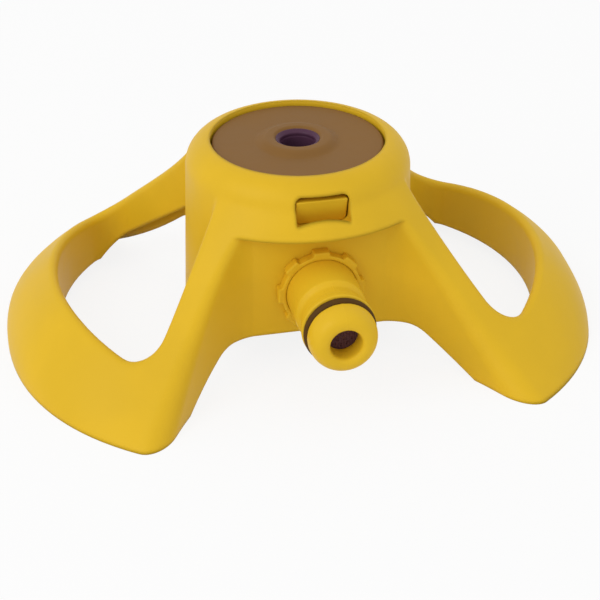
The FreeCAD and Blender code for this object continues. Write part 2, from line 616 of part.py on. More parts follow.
def bearing_carrier():
    """Cartridge that fits the turret from below: web, rim, spigot, bosses and latch cheeks."""
    web = Part.makeCylinder(CARRIER_RADIUS, WEB_THICKNESS, V(0, 0, WEB_UNDERSIDE))
    rim = tube(CARRIER_RADIUS, CARRIER_RADIUS - RIM_WALL, RIM_FOOT, LIP_UNDERSIDE)
    spigot = Part.makeCylinder(SPIGOT_RADIUS, WEB_UNDERSIDE - SPIGOT_FOOT, V(0, 0, SPIGOT_FOOT))
    bosses = screw_holes(BOSS_RADIUS, WEB_TOP, WEB_TOP + BOSS_HEIGHT)
    sheath = Part.makeBox(2 * CARRIER_RADIUS, 2 * CARRIER_FLAT, TURRET_HEIGHT,
                          V(-CARRIER_RADIUS, -CARRIER_FLAT, 0))
    disc = web.fuse(rim.common(hub_cavity())).common(sheath)

    cheek_foot = AXLE_HEIGHT - AXLE_RADIUS - RUNNING_FIT - CHEEK_WALL
    cheek = Part.makeBox(CHEEK_WIDTH, 2 * (CARRIER_FLAT - AXLE_DISTANCE), WEB_UNDERSIDE - cheek_foot,
                         V(TONGUE_WIDTH / 2 + LOOSE_FIT, -CARRIER_FLAT, cheek_foot))
    cheeks = mirrored_pair(cheek) + mirrored_pair(cheek.mirror(ORIGIN, X_AXIS))
    solid = disc.fuse([spigot] + bosses + cheeks)

    groove = tube(SPIGOT_RADIUS + TRIM, SPIGOT_RADIUS - 2 * RISER_SEAL_SECTION + SLIP_FIT,
                  RISER_SEAL_HEIGHT - RISER_SEAL_SECTION, RISER_SEAL_HEIGHT + RISER_SEAL_SECTION)
    bore = Part.makeCylinder(SLEEVE_RADIUS, TURRET_HEIGHT)
    screws = screw_holes(SCREW_RADIUS, WEB_UNDERSIDE - TRIM, WEB_UNDERSIDE + SCREW_LENGTH)
    slot = Part.makeBox(TONGUE_WIDTH + 2 * LOOSE_FIT, CARRIER_RADIUS, TURRET_HEIGHT,
                        V(-TONGUE_WIDTH / 2 - LOOSE_FIT,
                          -CARRIER_RADIUS - TONGUE_INNER + SWING_ROOM, WEB_UNDERSIDE - TRIM))
    sockets = mirrored_pair(latch_axle(AXLE_RADIUS + RUNNING_FIT))
    return solid.cut([groove, bore] + screws + mirrored_pair(slot) + sockets)


def carrier_screws():
    """Pan-head screws that join the inlet body to the cartridge."""
    top = WEB_UNDERSIDE - EAR_THICKNESS
    foot = top - SCREW_HEAD_HEIGHT
    head = revolve_z([(0, foot), (SCREW_HEAD_RADIUS - SCREW_HEAD_BEVEL, foot),
                      (SCREW_HEAD_RADIUS, foot + SCREW_HEAD_BEVEL), (SCREW_HEAD_RADIUS, top), (0, top)])
    head.translate(V(EAR_CIRCLE, 0, 0))
    shank = Part.makeCylinder(SCREW_RADIUS, SCREW_LENGTH, V(EAR_CIRCLE, 0, top))
    drive = Part.makeBox(SCREW_HEAD_RADIUS, SCREW_DRIVE, SCREW_HEAD_HEIGHT / 2)
    drive.translate(V(EAR_CIRCLE - SCREW_HEAD_RADIUS / 2, -SCREW_DRIVE / 2, foot))
    cross = drive.rotated(V(EAR_CIRCLE, 0, 0), Z_AXIS, 90)
    screw = head.fuse(shank).cut([drive, cross])
    return Part.makeCompound([screw.rotated(ORIGIN, Z_AXIS, angle) for angle in ear_angles()])


def bearing_sleeve():
    """Flanged bush in which the stem turns."""
    body = tube(SLEEVE_RADIUS, SLEEVE_BORE, SPIGOT_FOOT, WEB_TOP)
    flange = tube(SLEEVE_FLANGE_RADIUS, SLEEVE_BORE, WEB_TOP, SLEEVE_TOP)
    return body.fuse(flange)


def riser_seal():
    """O-ring between the cartridge's spigot and the riser's cup."""
    radius = SPIGOT_RADIUS - RISER_SEAL_SECTION + SLIP_FIT
    section = RISER_SEAL_SECTION / math.cos(math.pi / SEAL_SIDES)
    return seal_ring(radius, section).translated(V(0, 0, RISER_SEAL_HEIGHT))


# ---- swivelling stem -------------------------------------------------------------------------
def washer_heights():
    """Lower and upper face of each washer under the bush, from the top one down."""
    high = SPIGOT_FOOT - THRUST_GAP
    faces = []
    for thickness in WASHER_THICKNESSES:
        faces.append((high - thickness, high))
        high -= thickness
    return faces


def stem_washer(low, high):
    """Flat washer on the stem."""
    return tube(STEM_FLANGE_RADIUS - SLIP_FIT, STEM_RADIUS + SLIP_FIT, low, high)


def swivel_stem():
    """Hollow spindle with the flange that carries the washers."""
    top_of_flange = washer_heights()[-1][0] - THRUST_GAP
    foot = top_of_flange - STEM_FLANGE
    return revolve_z([
        (STEM_BORE, foot), (STEM_FLANGE_RADIUS - STEM_CHAMFER, foot),
        (STEM_FLANGE_RADIUS, foot + STEM_CHAMFER), (STEM_FLANGE_RADIUS, top_of_flange),
        (STEM_RADIUS, top_of_flange), (STEM_RADIUS, STEM_TOP), (STEM_BORE, STEM_TOP),
    ])


def swivel_disc():
    """Round cover that turns with the stem: flat plate, low boss and flared mouth."""
    plate_foot = DISC_TOP - DISC_THICKNESS
    boss_top = DISC_TOP + DISC_BOSS_RISE
    mouth_foot = boss_top - DISC_MOUTH_DEPTH
    return revolve_z([
        (STEM_RADIUS, DISC_HUB_FOOT), (DISC_HUB_RADIUS, DISC_HUB_FOOT),
        (DISC_HUB_RADIUS, plate_foot), (DISC_RADIUS, plate_foot),
        (DISC_RADIUS, DISC_TOP - DISC_EDGE_BEVEL), (DISC_RADIUS - DISC_EDGE_BEVEL, DISC_TOP),
        (DISC_HUB_RADIUS, DISC_TOP), (DISC_HUB_RADIUS - DISC_BOSS_RISE, boss_top),
        (DISC_MOUTH_RADIUS, boss_top), (STEM_BORE, mouth_foot), (STEM_BORE, STEM_TOP),
        (STEM_RADIUS, STEM_TOP),
    ])


def spring_seat():
    """Washer between the spring and the cover's hub."""
    top = DISC_HUB_FOOT - THRUST_GAP
    return tube(DISC_HUB_RADIUS, STEM_RADIUS + SLIP_FIT, top - SPRING_SEAT, top)


def stem_spring():
    """Compression spring round the stem, between the bush and the spring seat."""
    low = SLEEVE_TOP + SPRING_WIRE
    high = DISC_HUB_FOOT - THRUST_GAP - SPRING_SEAT - SPRING_WIRE
    radius = STEM_RADIUS + SPRING_PLAY + SPRING_WIRE
    pitch = (high - low) / SPRING_COILS
    path = Part.makeHelix(pitch, high - low, radius)
    path.translate(V(0, 0, low))
    corners = []
    for i in range(HEXAGON):
        angle = 2 * math.pi * (i + 0.5) / HEXAGON
        corners.append(V(radius + SPRING_WIRE * math.cos(angle), 0, low + SPRING_WIRE * math.sin(angle)))
    section = Part.makePolygon(corners + corners[:1])
    return Part.Wire(path.Edges).makePipeShell([section], True, True)


def socket_insert():
    """Soft liner in the stem's mouth that grips the sprinkler head's spigot."""
    return revolve_z([
        (STEM_BORE - INSERT_WALL, STEM_TOP - INSERT_DEPTH), (STEM_BORE, STEM_TOP - INSERT_DEPTH),
        (STEM_BORE, STEM_TOP), (STEM_BORE - INSERT_WALL / 2, STEM_TOP),
        (STEM_BORE - INSERT_WALL, STEM_TOP - INSERT_WALL),
    ])


def main():
    """Write every sub-part."""
    os.makedirs("parts", exist_ok=True)
    write(base_shell(), "base_shell")
    write(inlet_body(), "inlet_body")
    write(inlet_o_ring(), "inlet_o_ring")
    write(inlet_lock_ring(), "inlet_lock_ring")
    write(inlet_filter(), "inlet_filter")
    write(elbow_plug(), "elbow_plug")
    write(bearing_carrier(), "bearing_carrier")
    write(carrier_screws(), "carrier_screws")
    write(bearing_sleeve(), "bearing_sleeve")
    write(riser_seal(), "riser_seal")
    front_latch, rear_latch = mirrored_pair(latch_tongue())
    write(front_latch, "latch_front")
    write(rear_latch, "latch_rear")
    for name, (low, high) in zip(WASHER_NAMES, washer_heights()):
        write(stem_washer(low, high), name)
    write(swivel_stem(), "swivel_stem")
    write(swivel_disc(), "swivel_disc")
    write(spring_seat(), "spring_seat")
    write(stem_spring(), "stem_spring")
    write(socket_insert(), "socket_insert")


if __name__ == "__main__":
    main()
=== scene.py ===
"""Dresses the sprinkler stand: a moulded base, a hose plug, a bearing cartridge and a turning head.

Every length is in metres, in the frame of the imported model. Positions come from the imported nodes'
boxes. Each sub-assembly is a class: its sizes are fields, and its methods build and dress it.
"""
import logging
import math
from dataclasses import dataclass, field
from enum import Enum
from typing import Iterable, Sequence

import bmesh
import bpy
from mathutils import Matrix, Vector


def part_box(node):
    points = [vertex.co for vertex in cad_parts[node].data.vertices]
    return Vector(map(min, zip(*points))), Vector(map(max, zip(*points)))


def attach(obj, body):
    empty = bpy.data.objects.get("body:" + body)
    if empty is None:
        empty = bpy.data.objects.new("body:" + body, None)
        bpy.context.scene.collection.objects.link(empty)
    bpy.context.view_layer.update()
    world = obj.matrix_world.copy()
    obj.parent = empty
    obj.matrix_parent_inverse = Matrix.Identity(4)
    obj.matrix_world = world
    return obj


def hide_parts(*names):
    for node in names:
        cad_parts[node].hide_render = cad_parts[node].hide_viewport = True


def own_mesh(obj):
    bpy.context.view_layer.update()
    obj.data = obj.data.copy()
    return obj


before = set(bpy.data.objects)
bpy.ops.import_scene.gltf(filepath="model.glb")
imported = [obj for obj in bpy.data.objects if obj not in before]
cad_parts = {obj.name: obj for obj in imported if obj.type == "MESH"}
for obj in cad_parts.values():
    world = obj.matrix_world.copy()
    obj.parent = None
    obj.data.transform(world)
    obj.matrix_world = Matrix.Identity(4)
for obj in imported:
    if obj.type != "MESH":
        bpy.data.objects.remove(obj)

logging.basicConfig(level=logging.INFO, format="%(message)s")
LOG = logging.getLogger("stand")

Colour = tuple[float, float, float]
Point = tuple[float, float, float]

MM = 0.001
FULL_TURN = 2 * math.pi
WHITE = (1.0, 1.0, 1.0, 1.0)
CREASE_ANGLE = 40.0
ALL_SMOOTH = 180.0


class Body(Enum):
    """Rigid bodies that carry the pieces made here."""

    BASE = "base"
    SWIVEL = "swivel"
    LATCH_FRONT = "latch_f"
    LATCH_REAR = "latch_r"


class Axis(Enum):
    """Axis that a lathe turns about, with the two directions across it."""

    ALONG_Y = ((1, 0, 0), (0, 0, 1), (0, 1, 0))
    ALONG_Z = ((1, 0, 0), (0, 1, 0), (0, 0, 1))


# ---- node trees ------------------------------------------------------------------------------
class NodeGraph:
    """Short-hand for filling a node tree."""

    def __init__(self, tree: bpy.types.NodeTree) -> None:
        """Take over a tree and empty it.

        Args:
            tree: The tree to fill.
        """
        self.tree = tree
        self.tree.nodes.clear()

    def node(self, kind: str, inputs: dict | None = None, **settings: object) -> bpy.types.Node:
        """Add a node.

        Args:
            kind: The node's type.
            inputs: Values or sockets for its inputs, by name or index.
            **settings: Properties to set on the node.

        Returns:
            The new node.
        """
        made = self.tree.nodes.new(kind)
        for key, value in settings.items():
            setattr(made, key, value)
        for key, value in (inputs or {}).items():
            if isinstance(value, bpy.types.NodeSocket):
                self.tree.links.new(value, made.inputs[key])
            else:
                made.inputs[key].default_value = value
        return made

    def math(self, operation: str, first: object, second: object = 0.0) -> bpy.types.NodeSocket:
        """Combine two values with one arithmetic step."""
        return self.node("ShaderNodeMath", {0: first, 1: second}, operation=operation).outputs[0]


# ---- finishes --------------------------------------------------------------------------------
class ShaderGraph(NodeGraph):
    """Short-hand for building one material's node tree."""

    def __init__(self, name: str) -> None:
        """Start a material with an empty tree.

        Args:
            name: The material's name.
        """
        self.material = bpy.data.materials.new(name)
        self.material.use_nodes = True
        super().__init__(self.material.node_tree)
        self.output = self.node("ShaderNodeOutputMaterial")

    def place(self, scale: float | Point = 1.0) -> bpy.types.NodeSocket:
        """Object coordinates, scaled.

        Args:
            scale: One factor, or one for each axis.

        Returns:
            The scaled position.
        """
        factors = (scale,) * 3 if isinstance(scale, (int, float)) else scale
        where = self.node("ShaderNodeTexCoord").outputs["Object"]
        return self.node("ShaderNodeMapping", {"Vector": where, "Scale": factors}).outputs["Vector"]

    def noise(self, size: float | Point, detail: float = 2.0,
              rough: float = 0.5) -> bpy.types.NodeSocket:
        """Noise whose features have a given size.

        Args:
            size: Feature size in metres, one or three.
            detail: Layers of finer noise.
            rough: Strength of the finer layers.

        Returns:
            The noise value, about 0 to 1.
        """
        sizes = (size,) * 3 if isinstance(size, (int, float)) else size
        spot = self.place(tuple(1 / s for s in sizes))
        made = self.node("ShaderNodeTexNoise",
                         {"Vector": spot, "Scale": 1.0, "Detail": detail, "Roughness": rough})
        return made.outputs["Fac"]

    def band(self, value: object, low: float, high: float, start: float = 0.0,
             stop: float = 1.0) -> bpy.types.NodeSocket:
        """Remap a value from one range to another, smoothly and clamped.

        Args:
            value: The value, or a socket.
            low: Where the range starts.
            high: Where it ends.
            start: Result at the start.
            stop: Result at the end.

        Returns:
            The result.
        """
        return self.node("ShaderNodeMapRange",
                         {"Value": value, "From Min": low, "From Max": high,
                          "To Min": start, "To Max": stop},
                         interpolation_type="SMOOTHSTEP").outputs["Result"]

    def mix(self, factor: object, first: object, second: object) -> bpy.types.NodeSocket:
        """Blend two colours.

        Args:
            factor: Share of the second colour.
            first: A colour, or a socket.
            second: A colour, or a socket.

        Returns:
            The blended colour.
        """
        made = self.node("ShaderNodeMix", {0: factor}, data_type="RGBA")
        for index, value in ((6, first), (7, second)):
            if isinstance(value, bpy.types.NodeSocket):
                self.tree.links.new(value, made.inputs[index])
            else:
                made.inputs[index].default_value = (*value, 1.0)
        return made.outputs[2]

    def bump(self, layers: Sequence[tuple[object, float]],
             edge: float = 0.0) -> bpy.types.NodeSocket:
        """Stack bump layers.

        Args:
            layers: Pairs of height value and depth in metres.
            edge: Radius of the rounding on sharp edges, or 0.

        Returns:
            The bumped normal.
        """
        normal = None
        if edge:
            normal = self.node("ShaderNodeBevel", {"Radius": edge}, samples=6).outputs["Normal"]
        for height, depth in layers:
            inputs = {"Height": height, "Distance": depth, "Strength": 1.0}
            if normal is not None:
                inputs["Normal"] = normal
            normal = self.node("ShaderNodeBump", inputs).outputs["Normal"]
        return normal

    def finish(self, shader: bpy.types.Node) -> bpy.types.Material:
        """Connect the shader to the output and return the material."""
        self.tree.links.new(shader.outputs[0], self.output.inputs["Surface"])
        return self.material


def tint(colour: Colour, factor: float) -> Colour:
    """Lighten or darken a colour."""
    return tuple(min(1.0, channel * factor) for channel in colour)


@dataclass(frozen=True)
class MouldedPlastic:
    """Satin injection-moulded plastic.

    Attributes:
        name: Material name.
        colour: Linear base colour.
        roughness: Middle roughness of the clean surface.
        gloss: Specular level of the shader.
        grain: Feature size of the mould's fine texture.
        grain_depth: Depth of that texture.
        scuff: Strength of the handling marks.
        edge: Radius of the rounding on sharp edges, or 0.
        parted: Whether a parting line runs round it, in the plane X = 0.
    """

    name: str
    colour: Colour
    roughness: float = 0.46
    gloss: float = 0.14
    grain: float = 0.00022
    grain_depth: float = 0.000012
    scuff: float = 0.5
    edge: float = 0.0
    parted: bool = False

    def build(self) -> bpy.types.Material:
        """Build the finish.

        Returns:
            The material.
        """
        graph = ShaderGraph(self.name)
        cloud = graph.noise(0.018, 3.0)
        flow = graph.noise((0.05, 0.05, 0.012), 2.0)
        fine = graph.noise(self.grain, 2.0, 0.6)
        peel = graph.noise(0.0024, 1.0)
        scratch = self.scratches(graph)

        # Slow clouds of tone, flow marks, a darker grain and paler scratches.
        colour = graph.mix(graph.band(cloud, 0.3, 0.7),
                           tint(self.colour, 0.965), tint(self.colour, 1.03))
        for share, shade in (
                (graph.band(flow, 0.56, 0.72, 0.0, 0.25), 0.93),
                (graph.band(fine, 0.35, 0.75, 0.0, 0.10), 0.86),
                (graph.math("MULTIPLY", scratch, 0.22 * self.scuff), 1.35)):
            colour = graph.mix(share, colour, tint(self.colour, shade))
        rough = graph.band(cloud, 0.25, 0.75, self.roughness - 0.05, self.roughness + 0.05)
        rough = graph.math("ADD", rough, graph.math("MULTIPLY", scratch, 0.16 * self.scuff))
        layers = [(peel, 0.00003), (fine, self.grain_depth), (scratch, -0.00002 * self.scuff)]

        if self.parted:
            across = graph.node("ShaderNodeSeparateXYZ", {0: graph.place()}).outputs[0]
            line = graph.band(graph.math("ABSOLUTE", across), 0.00006, 0.00020, 1.0, 0.0)
            layers.append((line, 0.00002))
            colour = graph.mix(graph.math("MULTIPLY", line, 0.12), colour, tint(self.colour, 1.1))

        shader = graph.node("ShaderNodeBsdfPrincipled", {
            "Base Color": colour, "Roughness": rough, "IOR": 1.49,
            "Normal": graph.bump(layers, self.edge), "Specular IOR Level": self.gloss})
        return graph.finish(shader)

    def scratches(self, graph: ShaderGraph) -> bpy.types.NodeSocket:
        """Faint, short handling scratches in two directions.

        Args:
            graph: The material under construction.

        Returns:
            A mask, 1 on a scratch.
        """
        masks = []
        for size in ((0.012, 0.00022, 0.00022), (0.00025, 0.010, 0.00025)):
            line = graph.band(graph.noise(size, 1.0), 0.69, 0.74)
            where = graph.band(graph.noise(0.011, 1.0), 0.52, 0.66)
            masks.append(graph.math("MULTIPLY", line, where))
        return graph.math("MAXIMUM", masks[0], masks[1])


@dataclass(frozen=True)
class SealRubber:
    """Matt moulded rubber with a dusty bloom.

    Attributes:
        name: Material name.
        colour: Linear base colour.
    """

    name: str
    colour: Colour

    def build(self) -> bpy.types.Material:
        """Build the finish.

        Returns:
            The material.
        """
        graph = ShaderGraph(self.name)
        bloom = graph.noise(0.0022, 4.0, 0.65)
        fine = graph.noise(0.00012, 2.0)
        colour = graph.mix(graph.band(bloom, 0.45, 0.75, 0.0, 0.6),
                           self.colour, tint(self.colour, 1.5))
        rough = graph.band(bloom, 0.3, 0.7, 0.55, 0.78)
        shader = graph.node("ShaderNodeBsdfPrincipled", {
            "Base Color": colour, "Roughness": rough, "IOR": 1.52, "Specular IOR Level": 0.15,
            "Normal": graph.bump([(fine, 0.00001), (bloom, 0.00002)])})
        return graph.finish(shader)


@dataclass(frozen=True)
class WorkedMetal:
    """Turned or drawn metal with fine tool marks.

    Attributes:
        name: Material name.
        colour: Linear metal colour.
        roughness: Middle roughness.
        grain: Feature size of the tool marks along each axis.
    """

    name: str
    colour: Colour
    roughness: float = 0.3
    grain: Point = (0.004, 0.004, 0.00012)

    def build(self) -> bpy.types.Material:
        """Build the finish.

        Returns:
            The material.
        """
        graph = ShaderGraph(self.name)
        marks = graph.noise(self.grain, 2.0, 0.6)
        stain = graph.noise(0.003, 3.0)
        colour = graph.mix(graph.band(stain, 0.45, 0.75, 0.0, 0.5),
                           self.colour, tint(self.colour, 0.7))
        rough = graph.band(marks, 0.3, 0.7, self.roughness - 0.08, self.roughness + 0.1)
        shader = graph.node("ShaderNodeBsdfPrincipled", {
            "Base Color": colour, "Metallic": 1.0, "Roughness": rough,
            "Normal": graph.bump([(marks, 0.000008), (stain, 0.000006)])})
        return graph.finish(shader)


Finish = MouldedPlastic | SealRubber | WorkedMetal

# Linear colours of the mouldings.
OCHRE = (0.735, 0.455, 0.018)
BROWN = (0.232, 0.116, 0.032)
PLUM = (0.085, 0.034, 0.066)

SHELL_PLASTIC = MouldedPlastic("ochre_shell", OCHRE, edge=0.0013)
PLUG_PLASTIC = MouldedPlastic("ochre_plug", tint(OCHRE, 1.02), roughness=0.42, grain=0.00014,
                              scuff=0.7, parted=True)
RING_PLASTIC = MouldedPlastic("ochre_ring", tint(OCHRE, 0.98), grain=0.00014, parted=True)
LATCH_PLASTIC = MouldedPlastic("ochre_latch", tint(OCHRE, 0.96), grain=0.00018)
CARRIER_PLASTIC = MouldedPlastic("ochre_carrier", tint(OCHRE, 0.88), roughness=0.5)
DISC_PLASTIC = MouldedPlastic("brown_cover", BROWN, roughness=0.5, gloss=0.10, grain=0.00018,
                              scuff=0.8)
LINER_PLASTIC = MouldedPlastic("plum_liner", PLUM, roughness=0.4, grain=0.00015, scuff=0.2)
CAP_PLASTIC = MouldedPlastic("black_cap", (0.022, 0.022, 0.024), roughness=0.5, parted=True)
ACETAL = MouldedPlastic("natural_acetal", (0.62, 0.60, 0.53), roughness=0.32, grain=0.0001,
                        scuff=0.3)
STRAINER_PLASTIC = MouldedPlastic("plum_strainer", (0.16, 0.075, 0.085), roughness=0.5,
                                  grain=0.0001)
NITRILE = SealRubber("brown_seal", (0.080, 0.036, 0.005))
BRASS = WorkedMetal("turned_brass", (0.60, 0.40, 0.16))
STAINLESS = WorkedMetal("drawn_stainless", (0.56, 0.55, 0.53), grain=(0.0006, 0.0006, 0.0006))


@dataclass
class FinishLibrary:
    """Builds each finish once and hands out its material.

    Attributes:
        made: The finished materials by name.
    """

    made: dict[str, bpy.types.Material] = field(default_factory=dict)

    def get(self, finish: Finish) -> bpy.types.Material:
        """Look up a finish, and build it on first use.

        Args:
            finish: The finish.

        Returns:
            Its material.
        """
        if finish.name not in self.made:
            self.made[finish.name] = finish.build()
        return self.made[finish.name]


FINISHES = FinishLibrary()


def dress(node: str, finish: Finish) -> None:
    """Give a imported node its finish.

    Args:
        node: The node's name.
        finish: The finish to put in each of its material slots.
    """
    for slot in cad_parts[node].material_slots:
        slot.material = FINISHES.get(finish)
    LOG.info("dressed %s with %s", node, finish.name)


# ---- meshes ----------------------------------------------------------------------------------
class GeometryGraph(NodeGraph):
    """Short-hand for a geometry node tree with named inputs."""

    def __init__(self, name: str, inputs: dict[str, float | Point]) -> None:
        """Start a tree.

        Args:
            name: The tree's name.
            inputs: Named inputs with their values.
        """
        super().__init__(bpy.data.node_groups.new(name, "GeometryNodeTree"))
        interface = self.tree.interface
        interface.new_socket("Geometry", in_out="OUTPUT", socket_type="NodeSocketGeometry")
        for label, value in inputs.items():
            kind = "NodeSocketVector" if isinstance(value, tuple) else "NodeSocketFloat"
            interface.new_socket(label, in_out="INPUT", socket_type=kind).default_value = value
        self.given = self.node("NodeGroupInput")
        self.result = self.node("NodeGroupOutput")

    def put(self, label: str) -> bpy.types.NodeSocket:
        """Socket of a named input."""
        return self.given.outputs[label]

    def vector(self, x: object = 0.0, y: object = 0.0, z: object = 0.0) -> bpy.types.NodeSocket:
        """Vector from three values."""
        return self.node("ShaderNodeCombineXYZ", {0: x, 1: y, 2: z}).outputs[0]

    def close(self, geometry: bpy.types.NodeSocket, material: bpy.types.Material) -> None:
        """End the tree with real geometry and its material.

        Args:
            geometry: The finished shape.
            material: Its material.
        """
        real = self.node("GeometryNodeRealizeInstances", {0: geometry}).outputs[0]
        dressed = self.node("GeometryNodeSetMaterial", {"Geometry": real, "Material": material})
        self.tree.links.new(dressed.outputs[0], self.result.inputs[0])

    def make(self, name: str) -> bpy.types.Object:
        """Run the tree and keep its result as a plain mesh.

        Args:
            name: The new piece's name.

        Returns:
            The piece, at the origin.
        """
        carrier = bpy.data.objects.new(name + "_maker", bpy.data.meshes.new(name + "_maker"))
        bpy.context.collection.objects.link(carrier)
        carrier.modifiers.new("build", "NODES").node_group = self.tree
        return freeze(carrier, name)


def settle(piece: bpy.types.Object, body: Body,
           smooth_angle: float = CREASE_ANGLE) -> None:
    """Shade a finished piece and let it ride on its body.

    Args:
        piece: The finished piece.
        body: The body that carries it.
        smooth_angle: Edges sharper than this many degrees stay sharp.
    """
    bm = bmesh.new()
    bm.from_mesh(piece.data)
    limit = math.radians(smooth_angle)
    for face in bm.faces:
        face.smooth = True
    for edge in bm.edges:
        edge.smooth = len(edge.link_faces) == 2 and edge.calc_face_angle(0.0) < limit
    bm.to_mesh(piece.data)
    bm.free()
    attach(piece, body.value)
    LOG.info("%s: %d faces on %s", piece.name, len(piece.data.polygons), body.value)


def stand_in(piece: bpy.types.Object, node: str, finish: Finish, body: Body) -> None:
    """Let a softened piece, smooth all over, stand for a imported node.

    Args:
        piece: The finished piece.
        node: The node it stands for.
        finish: Its finish.
        body: The body that carries it.
    """
    piece.data.materials.clear()
    piece.data.materials.append(FINISHES.get(finish))
    settle(piece, body, ALL_SMOOTH)
    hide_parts(node)


def quarter_turn(steps: int) -> list[float]:
    """Angles from 0 to a right angle."""
    return [math.pi / 2 * i / steps for i in range(steps + 1)]


def lathe(bm: bmesh.types.BMesh, outline: Sequence[tuple[float, float]], centre: Vector,
          axis: Axis, steps: int = 128) -> None:
    """Turn a closed outline about an axis and add it to a mesh.

    Args:
        bm: The mesh that gains the turned ring.
        outline: Closed (radius, distance along the axis) points.
        centre: A point on the axis.
        axis: The axis.
        steps: Faces around the turn.
    """
    across, up, ahead = (Vector(direction) for direction in axis.value)
    rings = []
    for i in range(steps):
        angle = FULL_TURN * i / steps
        spoke = across * math.cos(angle) + up * math.sin(angle)
        rings.append([bm.verts.new(centre + spoke * r + ahead * along) for r, along in outline])
    made = []
    for i in range(steps):
        after = rings[(i + 1) % steps]
        for j in range(len(outline)):
            k = (j + 1) % len(outline)
            made.append(bm.faces.new((rings[i][j], rings[i][k], after[k], after[j])))
    bmesh.ops.recalc_face_normals(bm, faces=made)


def merged_copy(node: str) -> bmesh.types.BMesh:
    """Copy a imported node's mesh with its loose triangles joined.

    Args:
        node: The node's name.

    Returns:
        The joined mesh, ready to change.
    """
    bm = bmesh.new()
    bm.from_mesh(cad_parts[node].data)
    bmesh.ops.remove_doubles(bm, verts=bm.verts, dist=1e-6)
    return bm


def as_object(bm: bmesh.types.BMesh, name: str) -> bpy.types.Object:
    """Turn a finished mesh into an object at the origin.

    Args:
        bm: The mesh, which is freed.
        name: The object's name.

    Returns:
        The object.
    """
    mesh = bpy.data.meshes.new(name)
    bm.to_mesh(mesh)
    bm.free()
    made = bpy.data.objects.new(name, mesh)
    bpy.context.collection.objects.link(made)
    return made


def freeze(raw: bpy.types.Object, name: str) -> bpy.types.Object:
    """Apply an object's modifiers and keep the result as a plain piece.

    Args:
        raw: The object with its modifiers, which is removed.
        name: The new piece's name.

    Returns:
        The piece, at the origin.
    """
    bpy.context.view_layer.update()
    seen = raw.evaluated_get(bpy.context.evaluated_depsgraph_get())
    mesh = bpy.data.meshes.new_from_object(seen)
    bpy.data.objects.remove(raw)
    mesh.name = name
    piece = bpy.data.objects.new(name, mesh)
    bpy.context.collection.objects.link(piece)
    return piece


@dataclass(frozen=True)
class Softening:
    """Rounds the sharp edges of a copy, as a mould's polished cavity does.

    Attributes:
        grid: Cell size of the new surface.
        passes: Smoothing passes; more of them round the edges further.
    """

    grid: float
    passes: int

    def apply(self, raw: bpy.types.Object, name: str) -> bpy.types.Object:
        """Rebuild a closed mesh on an even grid and smooth it.

        Args:
            raw: The sharp copy, which is removed.
            name: The new piece's name.

        Returns:
            The softened piece.
        """
        even = raw.modifiers.new("grid", "REMESH")
        even.mode = "VOXEL"
        even.voxel_size = self.grid
        smooth = raw.modifiers.new("round", "SMOOTH")
        smooth.factor = 0.5
        smooth.iterations = self.passes
        return freeze(raw, name)


# ---- sub-assemblies --------------------------------------------------------------------------
@dataclass
class MouldedBase:
    """The butterfly base with its turret, wings and bays."""

    def build(self) -> None:
        """Dress the shell."""
        dress("base_shell", SHELL_PLASTIC)


